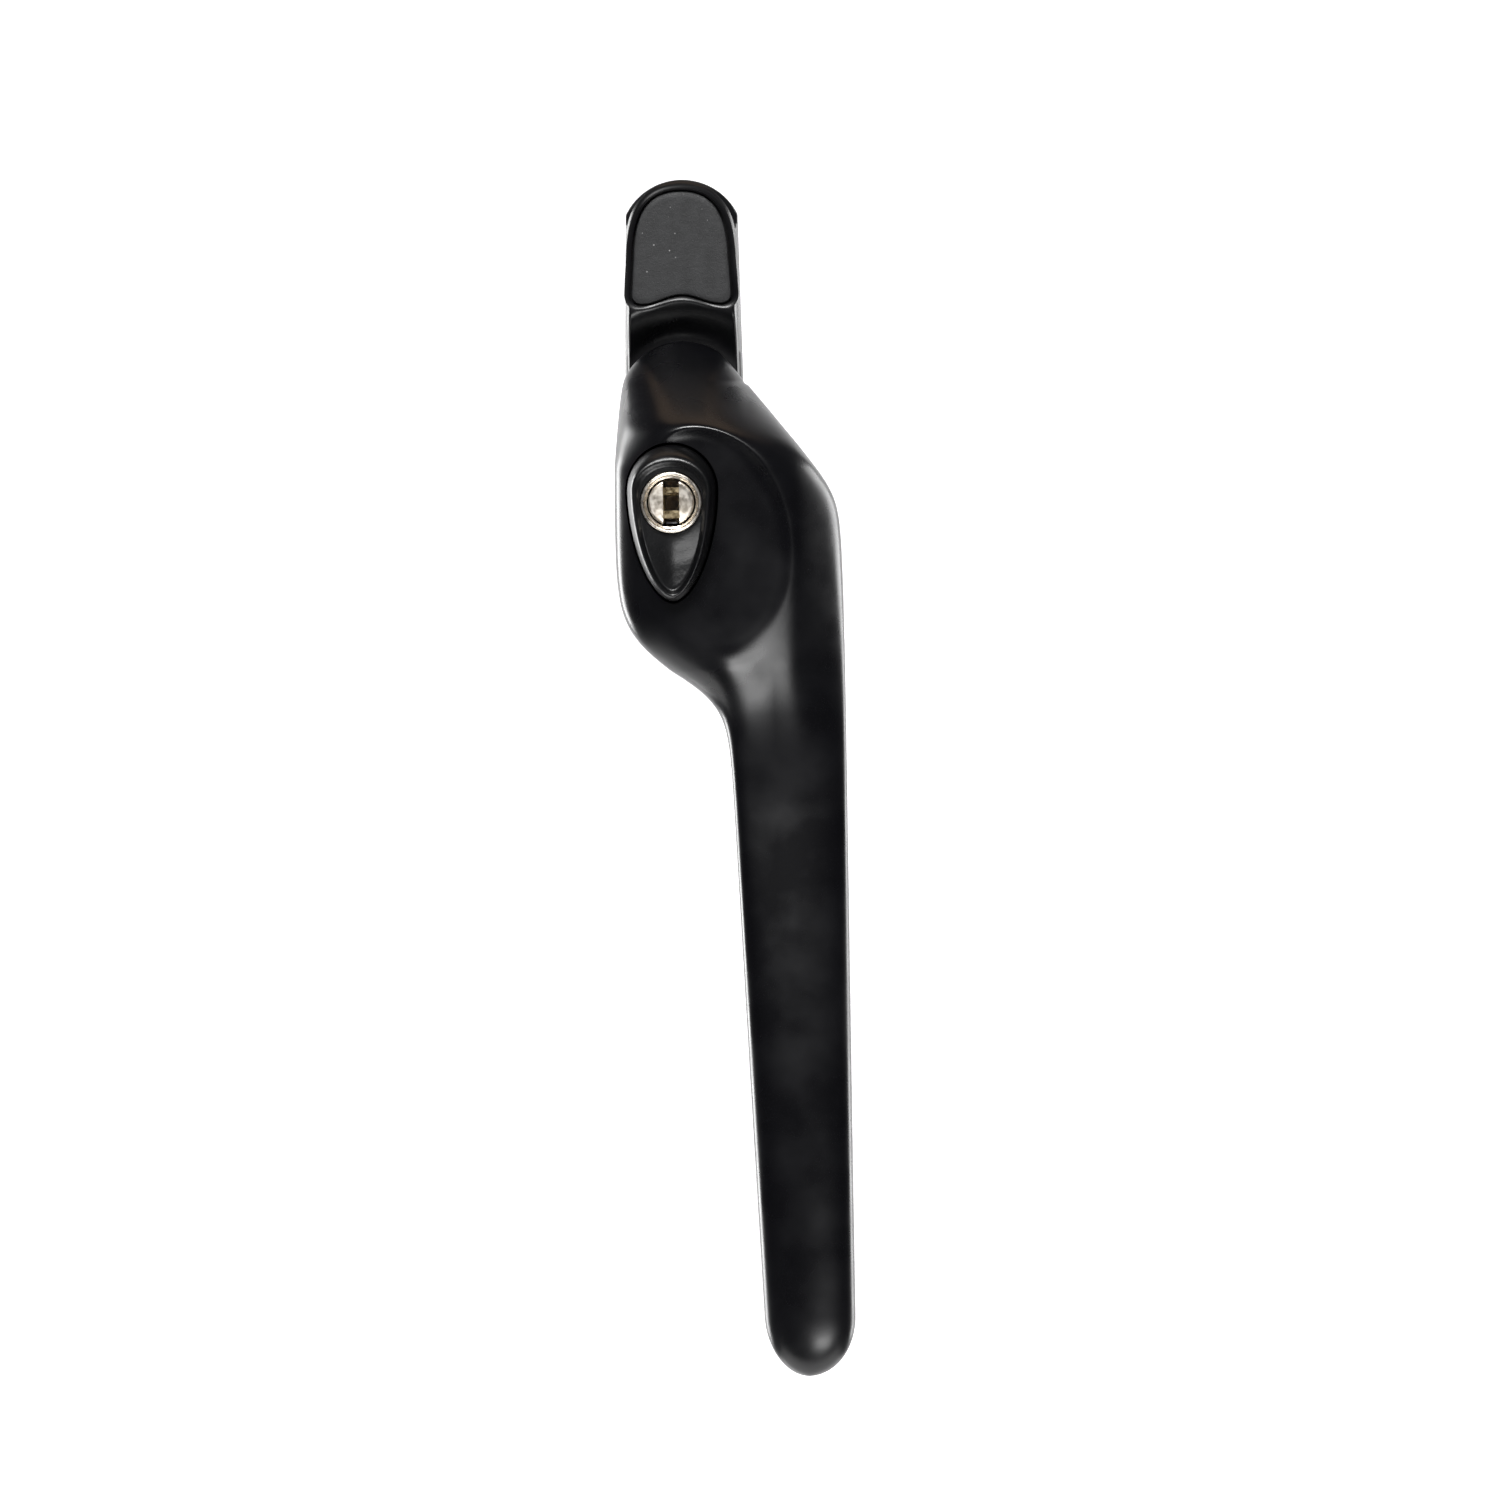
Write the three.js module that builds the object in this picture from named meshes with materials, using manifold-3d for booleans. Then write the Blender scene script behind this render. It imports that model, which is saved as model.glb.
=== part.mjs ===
// Locking window handle: a cranked lever on a slim base plate, with a keyed push button.
// Every piece is drawn looking straight at the front: X right, Y up, Z out of the window
// towards the hand. The last step turns the whole assembly so that up is +Z.
// Sizes are in millimetres. Heights are measured from the mounting face.
import * as THREE from 'three';
import { mergeVertices } from 'three/addons/utils/BufferGeometryUtils.js';
import Module from 'manifold-3d';

const wasm = await Module();
wasm.setup();

// ---- clearances
const RUN = 0.25; // round piece turning or sliding in a bore
const SEAT = 0.3; // pieces that rest against each other

// ---- fixing standard shared with the window gear
const SPINDLE_SQUARE = 7;
const SPINDLE_CHAMFER = 0.5;
const SPINDLE_REACH = 35;
const FIX_CENTRES = 43;
const SCREW_R = 2.5;
const SCREW_HEAD_R = 4.5;
const SCREW_HEAD_T = 2.5;
const SCREW_REACH = 26;

// ---- base plate
const BASE_LENGTH = 62;
const BASE_HALF_HUB = 8.1;
const BASE_HALF_END = 7.6;
const BASE_SHOULDER = 26.3;
const BASE_STEP = 0.3; // the body stands this far inside the flange
const BODY_SHOULDER = 23.6;
const FLANGE_TOP = 3.2;
const BASE_TOP = 5.4;
const HUMP_TOP = 9.5;
const HUMP_FOOT = 9.2;
const HUMP_BROW = 14.6;
const RIM_ROUND = 0.7;
const POCKET_HALF_X = 6.6;
const POCKET_HALF_Y = 9.8;
const POCKET_TOP = 3.8;
const SCREW_SEAT = 2.6;

// ---- cap
const CAP_TOP = 29.1;
const CAP_FOOT = 13.9;
const CAP_HALF = 6.75;
const CAP_GROOVE = 0.4;
const CAP_T = 1.7;

// ---- hub
const BOSS_R = 5.7;
const BOSS_END = 4.0;
const BUSH_WALL = 0.8;
const BUSH_FLANGE_R = 7.6;
const HUB_R = 8.87;
const LEVER_UNDER = 6.6;
const SOCKET_TOP = 13.4;
const CAM_HALF = 4.85;
const CAM_CORNER_R = 5.2;
const CAM_FROM = 1.95;
const CAM_TO = 3.5;
const WASHER_R = 5.9;
const LEAF_T = 0.35;
const PLATE_T = 0.6;
const PIN_R = 0.9;
const PIN_HEIGHT = 4.9;

// ---- lever outline and heights
const NECK_LEFT = 9.28;
const GRIP_RIGHT = 21.35;
const GRIP_TIP_X = 15.3;
const GRIP_END = -123.1;
const GRIP_END_ROUND = 8;
const GRIP_LEFT = 6.0;
const GRIP_LEFT_AT = -48;
const GRIP_TAPER = 0.0446;
const NOSE_EDGE = 7.5;
const RAMP_SLOPE = 1.7;
const HEAD_TOP = 28.7;
const GRIP_TOP = 23.2;
const GRIP_BOW = 2.6;
const GRIP_UNDER = 14;
const CREASE_X = 15.6;

// ---- oval facet cut into the head
const FACET_X = 3.26;
const FACET_Y = -19;
const FACET_LONG = 16.66;
const FACET_SHORT = 12.25;
const FACET_LEAN = 0.22;
const FACET_LEVEL = 26;
const FACET_FILLET = 1.6;

// ---- lock button and cylinder
const LOCK_X = -1.3;
const LOCK_Y = -13.44;
const BUTTON_X = -1.32;
const BUTTON_Y = -11.8;
const BUTTON_HALF = 6.05;
const BUTTON_HEAD = 6.25;
const BUTTON_TAIL = 14.9;
const BUTTON_TOP = 30.2;
const BUTTON_SKIRT = 22.6;
const BUTTON_HOLLOW_R = 5.45;
const BUTTON_HOLLOW_TOP = 26.3;
const PRESS = 3.4;
const POCKET_FLOOR = 16.4;
const BARREL_R = 4.1;
const BARREL_FACE = 30.3;
const BARREL_END = 12.4;
const BORE_FLOOR = 8.8;
const PLUG_R = 3.05;
const PLUG_FACE = 30;
const PLUG_END = 15.6;
const KEYWAY_W = 2.2;
const KEYWAY_DEPTH = 12.6;
const BOLT_R = 2;
const BOLT_TIP = 6.85;
const WAFER_T = 0.7;
const WAFER_PITCH = 2.1;
const WAFER_HALF_X = 1.7;
const WAFER_HALF_Y = 2.05;
const WAFER_LIFTS = [0.15, -0.15, 0.2, -0.1];
const TONGUE_T = 1.1;
const TONGUE_OUT = 0.8;
const CRANK_R = 0.45;
const CRANK_ARM = 0.9;

// ---- tools for solids
const rounded = (v) => Math.max(0, Math.min(1, v));
const ease = (v) => rounded(v) ** 2 * (3 - 2 * rounded(v));
const softMin = (a, b, k) => (a + b - Math.hypot(a - b, k)) / 2;

function solid(geometry) {
  const bare = geometry.clone();
  bare.deleteAttribute('normal');
  bare.deleteAttribute('uv');
  const g = mergeVertices(bare, 1e-4);
  return new wasm.Manifold(new wasm.Mesh({
    numProp: 3,
    vertProperties: new Float32Array(g.attributes.position.array),
    triVerts: new Uint32Array(g.index.array),
  }));
}

const cut = (body, ...tools) => tools.reduce((left, tool) => left.subtract(tool), body);
const join = (body, ...more) => more.reduce((left, next) => left.add(next), body);

function surface(manifold) {
  const mesh = manifold.getMesh();
  const g = new THREE.BufferGeometry();
  g.setAttribute('position', new THREE.BufferAttribute(mesh.vertProperties, 3));
  g.setIndex(new THREE.BufferAttribute(mesh.triVerts, 1));
  return g;
}

function disc(r, low, high, x = 0, y = 0, sides = 36) {
  const g = new THREE.CylinderGeometry(r, r, high - low, sides);
  g.rotateX(Math.PI / 2);
  g.translate(x, y, (low + high) / 2);
  return solid(g);
}

function ring(outer, inner, low, high, x = 0, y = 0, sides = 36) {
  return cut(disc(outer, low, high, x, y, sides), disc(inner, low - 1, high + 1, x, y, sides));
}

function block(halfX, halfY, low, high, x = 0, y = 0) {
  const g = new THREE.BoxGeometry(2 * halfX, 2 * halfY, high - low);
  g.translate(x, y, (low + high) / 2);
  return solid(g);
}

function slab(shape, low, high, round = 0, steps = 3, curve = 12) {
  const g = new THREE.ExtrudeGeometry(shape, {
    depth: high - low - 2 * round,
    bevelEnabled: round > 0,
    bevelThickness: round,
    bevelSize: round,
    bevelOffset: -round,
    bevelSegments: steps,
    curveSegments: curve,
  });
  g.translate(0, 0, low + round);
  return solid(g);
}

function turned(points, x = 0, y = 0, sides = 36) {
  const g = new THREE.LatheGeometry(points.map(([r, h]) => new THREE.Vector2(r, h)), sides);
  g.rotateX(Math.PI / 2);
  g.translate(x, y, 0);
  return solid(g);
}

// ---- base plate
function plateOutline(hub, end, shoulder, top) {
  const s = new THREE.Shape();
  const r = (end ** 2 + (top - shoulder) ** 2) / (2 * (top - shoulder));
  const turn = Math.asin(Math.min(1, end / r));
  const [a, b] = [Math.PI / 2 - turn, Math.PI / 2 + turn];
  s.moveTo(hub, 0);
  s.lineTo(end, shoulder);
  s.absarc(0, top - r, r, a, b, false);
  s.lineTo(-hub, 0);
  s.lineTo(-end, -shoulder);
  s.absarc(0, r - top, r, -b, -a, false);
  s.closePath();
  return s;
}

// The raised end falls to the plate along a curve turned about the spindle axis.
function hubSweep() {
  const bend = (HUMP_BROW - HUMP_FOOT) / 2;
  const fall = new THREE.CubicBezierCurve(
    new THREE.Vector2(HUMP_FOOT, BASE_TOP), new THREE.Vector2(HUMP_FOOT + bend, BASE_TOP),
    new THREE.Vector2(HUMP_BROW - bend - 0.6, HUMP_TOP), new THREE.Vector2(HUMP_BROW, HUMP_TOP));
  const edge = fall.getPoints(9).map((v) => [v.x, v.y]);
  const over = HUMP_TOP + 2;
  return turned([[0, BASE_TOP], ...edge, [HUMP_BROW + 1, over], [0, over]], 0, 0, 72);
}

function capOutline(grow) {
  const top = CAP_TOP + grow;
  const foot = CAP_FOOT - grow;
  const half = CAP_HALF + grow;
  const s = new THREE.Shape();
  s.moveTo(half, foot + 1.7);
  s.lineTo(half - 0.3, 20.2);
  s.bezierCurveTo(half - 0.5, 27, half - 2.9, top, 0, top);
  s.bezierCurveTo(2.9 - half, top, 0.5 - half, 27, 0.3 - half, 20.2);
  s.lineTo(-half, foot + 1.7);
  s.quadraticCurveTo(-half - 0.1, foot, 2.1 - half, foot);
  s.quadraticCurveTo(0, foot + 2.4, half - 2.1, foot);
  s.quadraticCurveTo(half + 0.1, foot, half, foot + 1.7);
  return s;
}

function basePlate() {
  const flange = plateOutline(BASE_HALF_HUB, BASE_HALF_END, BASE_SHOULDER, BASE_LENGTH / 2);
  const body = plateOutline(BASE_HALF_HUB - BASE_STEP, BASE_HALF_END - BASE_STEP,
    BODY_SHOULDER, BASE_LENGTH / 2 - BASE_STEP);
  const tall = slab(body, FLANGE_TOP - 1, HUMP_TOP, RIM_ROUND);
  const high = cut(tall, hubSweep(), block(20, 40, BASE_TOP, 20, 0, -40));
  const mass = join(slab(flange, 0, FLANGE_TOP, 0.3, 2), slab(body, 1, BASE_TOP, 0.4, 2), high);
  const fix = FIX_CENTRES / 2;
  const recess = slab(capOutline(CAP_GROOVE), HUMP_TOP - CAP_T - SEAT, HUMP_TOP + 1);
  return cut(mass, recess,
    disc(SCREW_HEAD_R + SEAT, SCREW_SEAT, HUMP_TOP + 1, 0, fix),
    disc(SCREW_HEAD_R + SEAT, SCREW_SEAT, HUMP_TOP, 0, -fix),
    disc(SCREW_R + RUN, -1, SCREW_SEAT + 1, 0, fix, 24),
    disc(SCREW_R + RUN, -1, SCREW_SEAT + 1, 0, -fix, 24),
    block(POCKET_HALF_X, POCKET_HALF_Y, -1, POCKET_TOP),
    disc(BOSS_R + RUN + BUSH_WALL + 0.2, 1, BASE_TOP + 1),
    disc(BOLT_R + SEAT, 1.4, BASE_TOP + 1, LOCK_X, LOCK_Y, 24));
}

function screwCap() {
  const low = HUMP_TOP - CAP_T;
  const face = slab(capOutline(0), low, HUMP_TOP + 0.1, 0.2, 1);
  return join(face, ring(4.4, 3.5, 6, low + 0.2, 0, FIX_CENTRES / 2));
}

function fixingScrew(y) {
  const low = SCREW_SEAT + 0.05;
  const high = low + SCREW_HEAD_T;
  const body = turned([[0, -SCREW_REACH], [1.6, -SCREW_REACH], [SCREW_R, 2 - SCREW_REACH],
    [SCREW_R, low], [SCREW_HEAD_R, low], [SCREW_HEAD_R, high - 1], [3.6, high - 0.2],
    [2.4, high], [0, high]], 0, y, 24);
  return cut(body, block(2.4, 0.5, high - 1.6, high + 1, 0, y),
    block(0.5, 2.4, high - 1.6, high + 1, 0, y));
}

// ---- hub pieces
function hubBush() {
  const bore = BOSS_R + RUN;
  const tube = ring(bore + BUSH_WALL, bore, BOSS_END, BASE_TOP + SEAT + 0.1);
  return join(tube, ring(BUSH_FLANGE_R, bore, BASE_TOP + SEAT, LEVER_UNDER - SEAT));
}

function squareBar(size, low, high, chamfer) {
  const h = size / 2;
  const s = new THREE.Shape();
  s.moveTo(h, chamfer - h);
  s.lineTo(h, h - chamfer);
  s.lineTo(h - chamfer, h);
  s.lineTo(chamfer - h, h);
  s.lineTo(-h, h - chamfer);
  s.lineTo(-h, chamfer - h);
  s.lineTo(chamfer - h, -h);
  s.lineTo(h - chamfer, -h);
  s.closePath();
  return slab(s, low, high);
}

function crossRod(r, half, y, height) {
  const g = new THREE.CylinderGeometry(r, r, 2 * half, 20);
  g.rotateZ(Math.PI / 2);
  g.translate(0, y, height);
  return solid(g);
}

const socket = (low, high) => squareBar(SPINDLE_SQUARE + RUN, low, high, SPINDLE_CHAMFER);

function spindle() {
  const bar = squareBar(SPINDLE_SQUARE, -SPINDLE_REACH, SOCKET_TOP - SEAT, SPINDLE_CHAMFER);
  return cut(bar, crossRod(PIN_R + RUN, 8, 0, PIN_HEIGHT));
}

function indexCam() {
  const square = block(CAM_HALF, CAM_HALF, CAM_FROM, CAM_TO);
  return cut(square.intersect(disc(CAM_CORNER_R, 0, 9, 0, 0, 48)), socket(0, 9));
}

function hubWasher() {
  return cut(disc(WASHER_R, CAM_FROM - 0.95, CAM_FROM - SEAT), socket(0, 9));
}

function leafSpring(side) {
  const s = new THREE.Shape();
  const near = side * (CAM_HALF + SEAT + 0.1);
  const far = side * LEAF_T;
  const half = POCKET_HALF_Y - SEAT;
  s.moveTo(near + far, -half);
  s.quadraticCurveTo(near - far, 0, near + far, half);
  s.lineTo(near + 2 * far, half);
  s.quadraticCurveTo(near, 0, near + 2 * far, -half);
  s.closePath();
  return slab(s, CAM_FROM, CAM_TO, 0, 0, 8);
}

function backPlate() {
  const g = block(POCKET_HALF_X - SEAT, POCKET_HALF_Y - SEAT, 0.05, 0.05 + PLATE_T);
  return cut(g, disc(5.2, -1, 2), disc(1.05, -1, 2, 0, 7.6, 16), disc(1.05, -1, 2, 0, -7.6, 16));
}

function plateRivet(y) {
  return join(disc(0.8, 0.2, POCKET_TOP - 0.1, 0, y, 16),
    disc(1.5, 0.05 + PLATE_T + 0.2, PLATE_T + 0.8, 0, y, 16));
}

// ---- lever: stacked sections along its length
const noseHalf = (y) => Math.sqrt(Math.max(0, HUB_R ** 2 - y ** 2));

function tipFactor(y) {
  const t = rounded((GRIP_END - y) / GRIP_END_ROUND);
  return Math.sqrt(Math.max(0, 1 - t * t));
}

function leftEdge(y) {
  const grip = GRIP_LEFT + (GRIP_LEFT_AT - y) * GRIP_TAPER;
  const neck = 0.8 * Math.exp((y - 1.2) / 6) - NECK_LEFT;
  const softness = y > -36 ? 3 : 2.45;
  const blend = 1 / (1 + Math.exp((y + 36) / softness));
  const x = neck * (1 - blend) + grip * blend;
  return y > 3 ? -softMin(-x, noseHalf(y), 0.15) : x;
}

function rightEdge(y) {
  const slope = 9.6 + 0.83 * (2.03 - y);
  const x = softMin(slope, GRIP_RIGHT + 0.25, 2.9);
  return y > 3 ? softMin(x, noseHalf(y), 0.15) : x;
}

function edges(y) {
  const f = tipFactor(y);
  const [l, r] = [leftEdge(y), rightEdge(y)];
  return [GRIP_TIP_X + (l - GRIP_TIP_X) * f, GRIP_TIP_X + (r - GRIP_TIP_X) * f];
}

// Front surface before the facet is cut.
function frontHeight(x, y) {
  const inward = HUB_R - y - 0.014 * x * x;
  const ramp = NOSE_EDGE + RAMP_SLOPE * inward;
  const fall = ease((-16 - y) / 38);
  const bow = GRIP_BOW * Math.sin(Math.PI * rounded((-54 - y) / 95));
  const head = HEAD_TOP + (GRIP_TOP - HEAD_TOP) * fall + bow;
  const crown = 0.016 * (x - 5.5) ** 2 * (1 - fall);
  const beyond = Math.max(0, x - CREASE_X + fall) * 0.5 * (1 - ease((-30 - y) / 28));
  return softMin(ramp, head - crown - beyond, 2.2);
}

// Underside: flat over the base, lifted where it swings across the hump, high under the grip.
function backHeight(x, y) {
  const below = Math.min(0, Math.max(-8.5, y)) * ease((y + 15) / 6);
  const lift = 0.95 * Math.max(0, Math.hypot(Math.max(0, x), below) - HUB_R);
  const rise = ease((-27 - y) / 22);
  const bow = 0.8 * GRIP_BOW * Math.sin(Math.PI * rounded((-54 - y) / 95));
  const low = LEVER_UNDER + Math.min(lift, GRIP_UNDER - LEVER_UNDER);
  return low + (GRIP_UNDER + bow - low) * rise;
}

function sectionPoint(y, angle) {
  const [l, r] = edges(y);
  const c = Math.cos(angle);
  const s = Math.sin(angle);
  const across = (c + 1) / 2;
  const x = l + (r - l) * across;
  const grip = ease((-27 - y) / 22);
  const back = backHeight(x, y);
  const front = Math.max(frontHeight(x, y), back + 0.9);
  const share = 0.12 + 0.38 * grip + 0.2 * across * (1 - grip) * ease((4 - y) / 8);
  const waist = back + (front - back) * share;
  const headSide = 0.15 + 0.5 * ease((y + 9) / 9) + across * 0.3;
  const frontPower = headSide * (1 - grip) + 0.55 * grip;
  const backPower = 0.14 + 0.5 * grip;
  const f = tipFactor(y);
  const middle = (front + back) / 2;
  const height = s >= 0
    ? waist + (front - waist) * Math.abs(s) ** frontPower
    : waist - (waist - back) * Math.abs(s) ** backPower;
  return [x, middle + (height - middle) * (0.35 + 0.65 * f)];
}

function ringHeights() {
  const ys = [];
  for (let i = 1; i <= 9; i += 1) ys.push(HUB_R * Math.cos((i / 9) * (Math.PI / 2)));
  for (let y = -1; y > -54; y -= 1.1) ys.push(y);
  for (let y = -56; y > GRIP_END; y -= 6.5) ys.push(y);
  for (let i = 0; i < 9; i += 1) ys.push(GRIP_END - GRIP_END_ROUND * Math.sin((i / 9) * (Math.PI / 2)));
  return ys;
}

function leverBlank() {
  const ys = ringHeights();
  const around = 40;
  const g = new THREE.CylinderGeometry(1, 1, 1, around, ys.length - 1);
  const p = g.attributes.position;
  const rows = ys.length;
  for (let i = 0; i < p.count; i += 1) {
    const angle = Math.atan2(p.getZ(i), p.getX(i));
    const row = Math.round((0.5 - p.getY(i)) * (rows - 1));
    const centre = Math.hypot(p.getX(i), p.getZ(i)) < 0.5;
    const y = ys[row];
    const [x, z] = sectionPoint(y, angle);
    const [a, b] = edges(y);
    const mid = (sectionPoint(y, Math.PI / 2)[1] + sectionPoint(y, -Math.PI / 2)[1]) / 2;
    p.setXYZ(i, centre ? (a + b) / 2 : x, y, centre ? mid : z);
  }
  return solid(g);
}

function facetPunch() {
  const r = FACET_SHORT;
  const pts = [[0, FACET_LEVEL]];
  for (let i = 0; i <= 6; i += 1) {
    const a = (i / 6) * (Math.PI / 2);
    pts.push([r - FACET_FILLET * (1 - Math.sin(a)), FACET_LEVEL + FACET_FILLET * (1 - Math.cos(a))]);
  }
  pts.push([r + 0.3, FACET_LEVEL + 8], [0, FACET_LEVEL + 8]);
  const g = new THREE.LatheGeometry(pts.map(([a, h]) => new THREE.Vector2(a, h)), 64);
  g.rotateX(Math.PI / 2);
  g.scale(1, FACET_LONG / FACET_SHORT, 1);
  g.rotateZ(FACET_LEAN);
  g.translate(FACET_X, FACET_Y, 0);
  return solid(g);
}

function buttonOutline(shrink) {
  const s = new THREE.Shape();
  const half = BUTTON_HALF - shrink;
  const head = BUTTON_HEAD - shrink;
  const tail = BUTTON_TAIL - shrink;
  const point = (a) => {
    const low = Math.sin(a) < 0;
    const power = low ? 1 / 0.9 : 1;
    const x = half * Math.sign(Math.cos(a)) * Math.abs(Math.cos(a)) ** power;
    const y = (low ? -tail : head) * Math.abs(Math.sin(a)) ** power;
    return [BUTTON_X + x, BUTTON_Y + y];
  };
  s.moveTo(...point(0));
  for (let i = 1; i < 44; i += 1) s.lineTo(...point((i / 44) * 2 * Math.PI));
  s.closePath();
  return s;
}

function lever() {
  const blank = cut(leverBlank(), facetPunch());
  const boss = disc(BOSS_R, BOSS_END, LEVER_UNDER + 1.5);
  const pocket = slab(buttonOutline(-SEAT), POCKET_FLOOR, HEAD_TOP + 2);
  const slot = block(TONGUE_OUT + 0.9, 1.5, 8.9, 16.9, LOCK_X + BARREL_R + 0.2, LOCK_Y);
  return cut(join(blank, boss), socket(0, SOCKET_TOP), pocket, slot,
    disc(BARREL_R + RUN, BORE_FLOOR, POCKET_FLOOR + 1, LOCK_X, LOCK_Y),
    disc(BOLT_R + RUN, 0, BORE_FLOOR + 1, LOCK_X, LOCK_Y, 24),
    crossRod(PIN_R + RUN, 8, 0, PIN_HEIGHT));
}

// ---- lock button, cylinder and its works
function lockButton() {
  const rim = 0.8;
  const full = slab(buttonOutline(0.1), BUTTON_SKIRT, BUTTON_TOP + 1.2, rim, 4);
  const s = new THREE.Shape();
  s.moveTo(-40, 0);
  s.lineTo(20, 0);
  s.lineTo(20, BUTTON_TOP - 1.4);
  s.quadraticCurveTo(BUTTON_Y + 5, BUTTON_TOP + 0.4, BUTTON_Y, BUTTON_TOP);
  s.quadraticCurveTo(BUTTON_Y - 9, BUTTON_TOP - 0.3, -27, BUTTON_TOP - 1.6);
  s.lineTo(-40, BUTTON_TOP - 2);
  s.closePath();
  const side = new THREE.ExtrudeGeometry(s, { depth: 20, bevelEnabled: false, curveSegments: 10 });
  side.translate(0, 0, -10);
  side.applyMatrix4(new THREE.Matrix4().makeBasis(
    new THREE.Vector3(0, 1, 0), new THREE.Vector3(0, 0, 1), new THREE.Vector3(1, 0, 0)));
  return cut(full.intersect(solid(side)),
    disc(BUTTON_HOLLOW_R, 0, BUTTON_HOLLOW_TOP, LOCK_X, LOCK_Y),
    disc(BARREL_R + 0.15, 0, 40, LOCK_X, LOCK_Y));
}

function barrel() {
  const low = PLUG_END - 0.3;
  const bore = PLUG_R + RUN;
  const body = cut(disc(BARREL_R, BARREL_END, BARREL_FACE, LOCK_X, LOCK_Y),
    disc(bore, low, 40, LOCK_X, LOCK_Y),
    disc(bore + 0.35, BARREL_FACE - 0.6, 40, LOCK_X, LOCK_Y),
    disc(BOLT_R + 0.1, 0, BARREL_END + 0.9, LOCK_X, LOCK_Y, 24));
  const top = PLUG_END - 0.5;
  const base = top - TONGUE_T - 2 * RUN;
  return cut(body, block(2.7, 2.2, base, top, LOCK_X, LOCK_Y),
    block(BARREL_R, 1.25, base, top, LOCK_X + BARREL_R, LOCK_Y),
    disc(CRANK_ARM + CRANK_R + RUN, base, PLUG_END, LOCK_X, LOCK_Y, 24));
}

const waferHeight = (i) => PLUG_FACE - 2.1 - i * WAFER_PITCH;

function plug() {
  const keyway = block(KEYWAY_W / 2, 4, PLUG_FACE - KEYWAY_DEPTH, 40, LOCK_X, LOCK_Y);
  const slots = WAFER_LIFTS.map((_, i) => block(WAFER_HALF_X + 0.2, 4,
    waferHeight(i) - WAFER_T / 2 - 0.2, waferHeight(i) + WAFER_T / 2 + 0.2, LOCK_X, LOCK_Y));
  const crankLow = PLUG_END - 0.5 - TONGUE_T - RUN;
  const crank = disc(CRANK_R, crankLow, PLUG_END + 0.5, LOCK_X, LOCK_Y - CRANK_ARM, 16);
  return join(cut(disc(PLUG_R, PLUG_END, PLUG_FACE, LOCK_X, LOCK_Y), keyway, ...slots), crank);
}

function wafer(i) {
  const low = waferHeight(i) - WAFER_T / 2;
  const high = waferHeight(i) + WAFER_T / 2;
  const g = block(WAFER_HALF_X, WAFER_HALF_Y, low, high, LOCK_X, LOCK_Y);
  return cut(g, block(KEYWAY_W / 2 - 0.05, 1.2, low - 1, high + 1, LOCK_X, LOCK_Y + WAFER_LIFTS[i]));
}

function waferSpring() {
  const low = PLUG_FACE - KEYWAY_DEPTH + 0.2;
  return block(0.7, 0.08, low, PLUG_FACE - 0.6, LOCK_X, LOCK_Y - 2.72);
}

function lockBolt() {
  return turned([[0, BOLT_TIP], [BOLT_R - 0.4, BOLT_TIP], [BOLT_R, BOLT_TIP + 0.5],
    [BOLT_R, BARREL_END + 0.7], [0, BARREL_END + 0.7]], LOCK_X, LOCK_Y, 24);
}

function latchTongue() {
  const top = PLUG_END - 0.5 - RUN;
  const low = top - TONGUE_T;
  const reach = (BARREL_R + TONGUE_OUT) / 2;
  const g = join(block(1.9, 1.9, low, top, LOCK_X + 0.3, LOCK_Y),
    block(reach, 1, low, top, LOCK_X + reach, LOCK_Y));
  return cut(g, block(0.725, 1.05, low - 1, top + 1, LOCK_X - 0.075, LOCK_Y - 0.45));
}

class Coil extends THREE.Curve {
  constructor(r, low, high, turns) {
    super();
    Object.assign(this, { r, low, high, turns });
  }

  getPoint(t) {
    const a = t * this.turns * 2 * Math.PI;
    const h = this.low + (this.high - this.low) * t;
    return new THREE.Vector3(LOCK_X + this.r * Math.cos(a), LOCK_Y + this.r * Math.sin(a), h);
  }
}

function returnSpring() {
  const wire = (BUTTON_HOLLOW_R - BARREL_R) / 5;
  const middle = (BUTTON_HOLLOW_R + BARREL_R) / 2;
  const s = new THREE.Shape();
  s.absarc(0, 0, wire, 0, 2 * Math.PI, false);
  const path = new Coil(middle, POCKET_FLOOR + wire + 0.15, BUTTON_HOLLOW_TOP - wire - 0.15, 5);
  return solid(new THREE.ExtrudeGeometry(s, { steps: 90, extrudePath: path, curveSegments: 3 }));
}

// ---- finishes
const finish = (color, roughness, metalness) => ({ color, roughness, metalness });
const BLACK_COAT = finish(0x0d0d0f, 0.42, 0);
const CAP_PLASTIC = finish(0x2a2b2d, 0.7, 0);
const BUTTON_COAT = finish(0x121214, 0.5, 0);
const NICKEL = finish(0xd8cdbb, 0.25, 1);
const BRASS = finish(0xb89a5a, 0.4, 1);
const ZINC = finish(0xb9bcc2, 0.4, 1);
const SPRING_STEEL = finish(0x8c8f94, 0.35, 1);
const NYLON = finish(0x1b1b1c, 0.6, 0);

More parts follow.
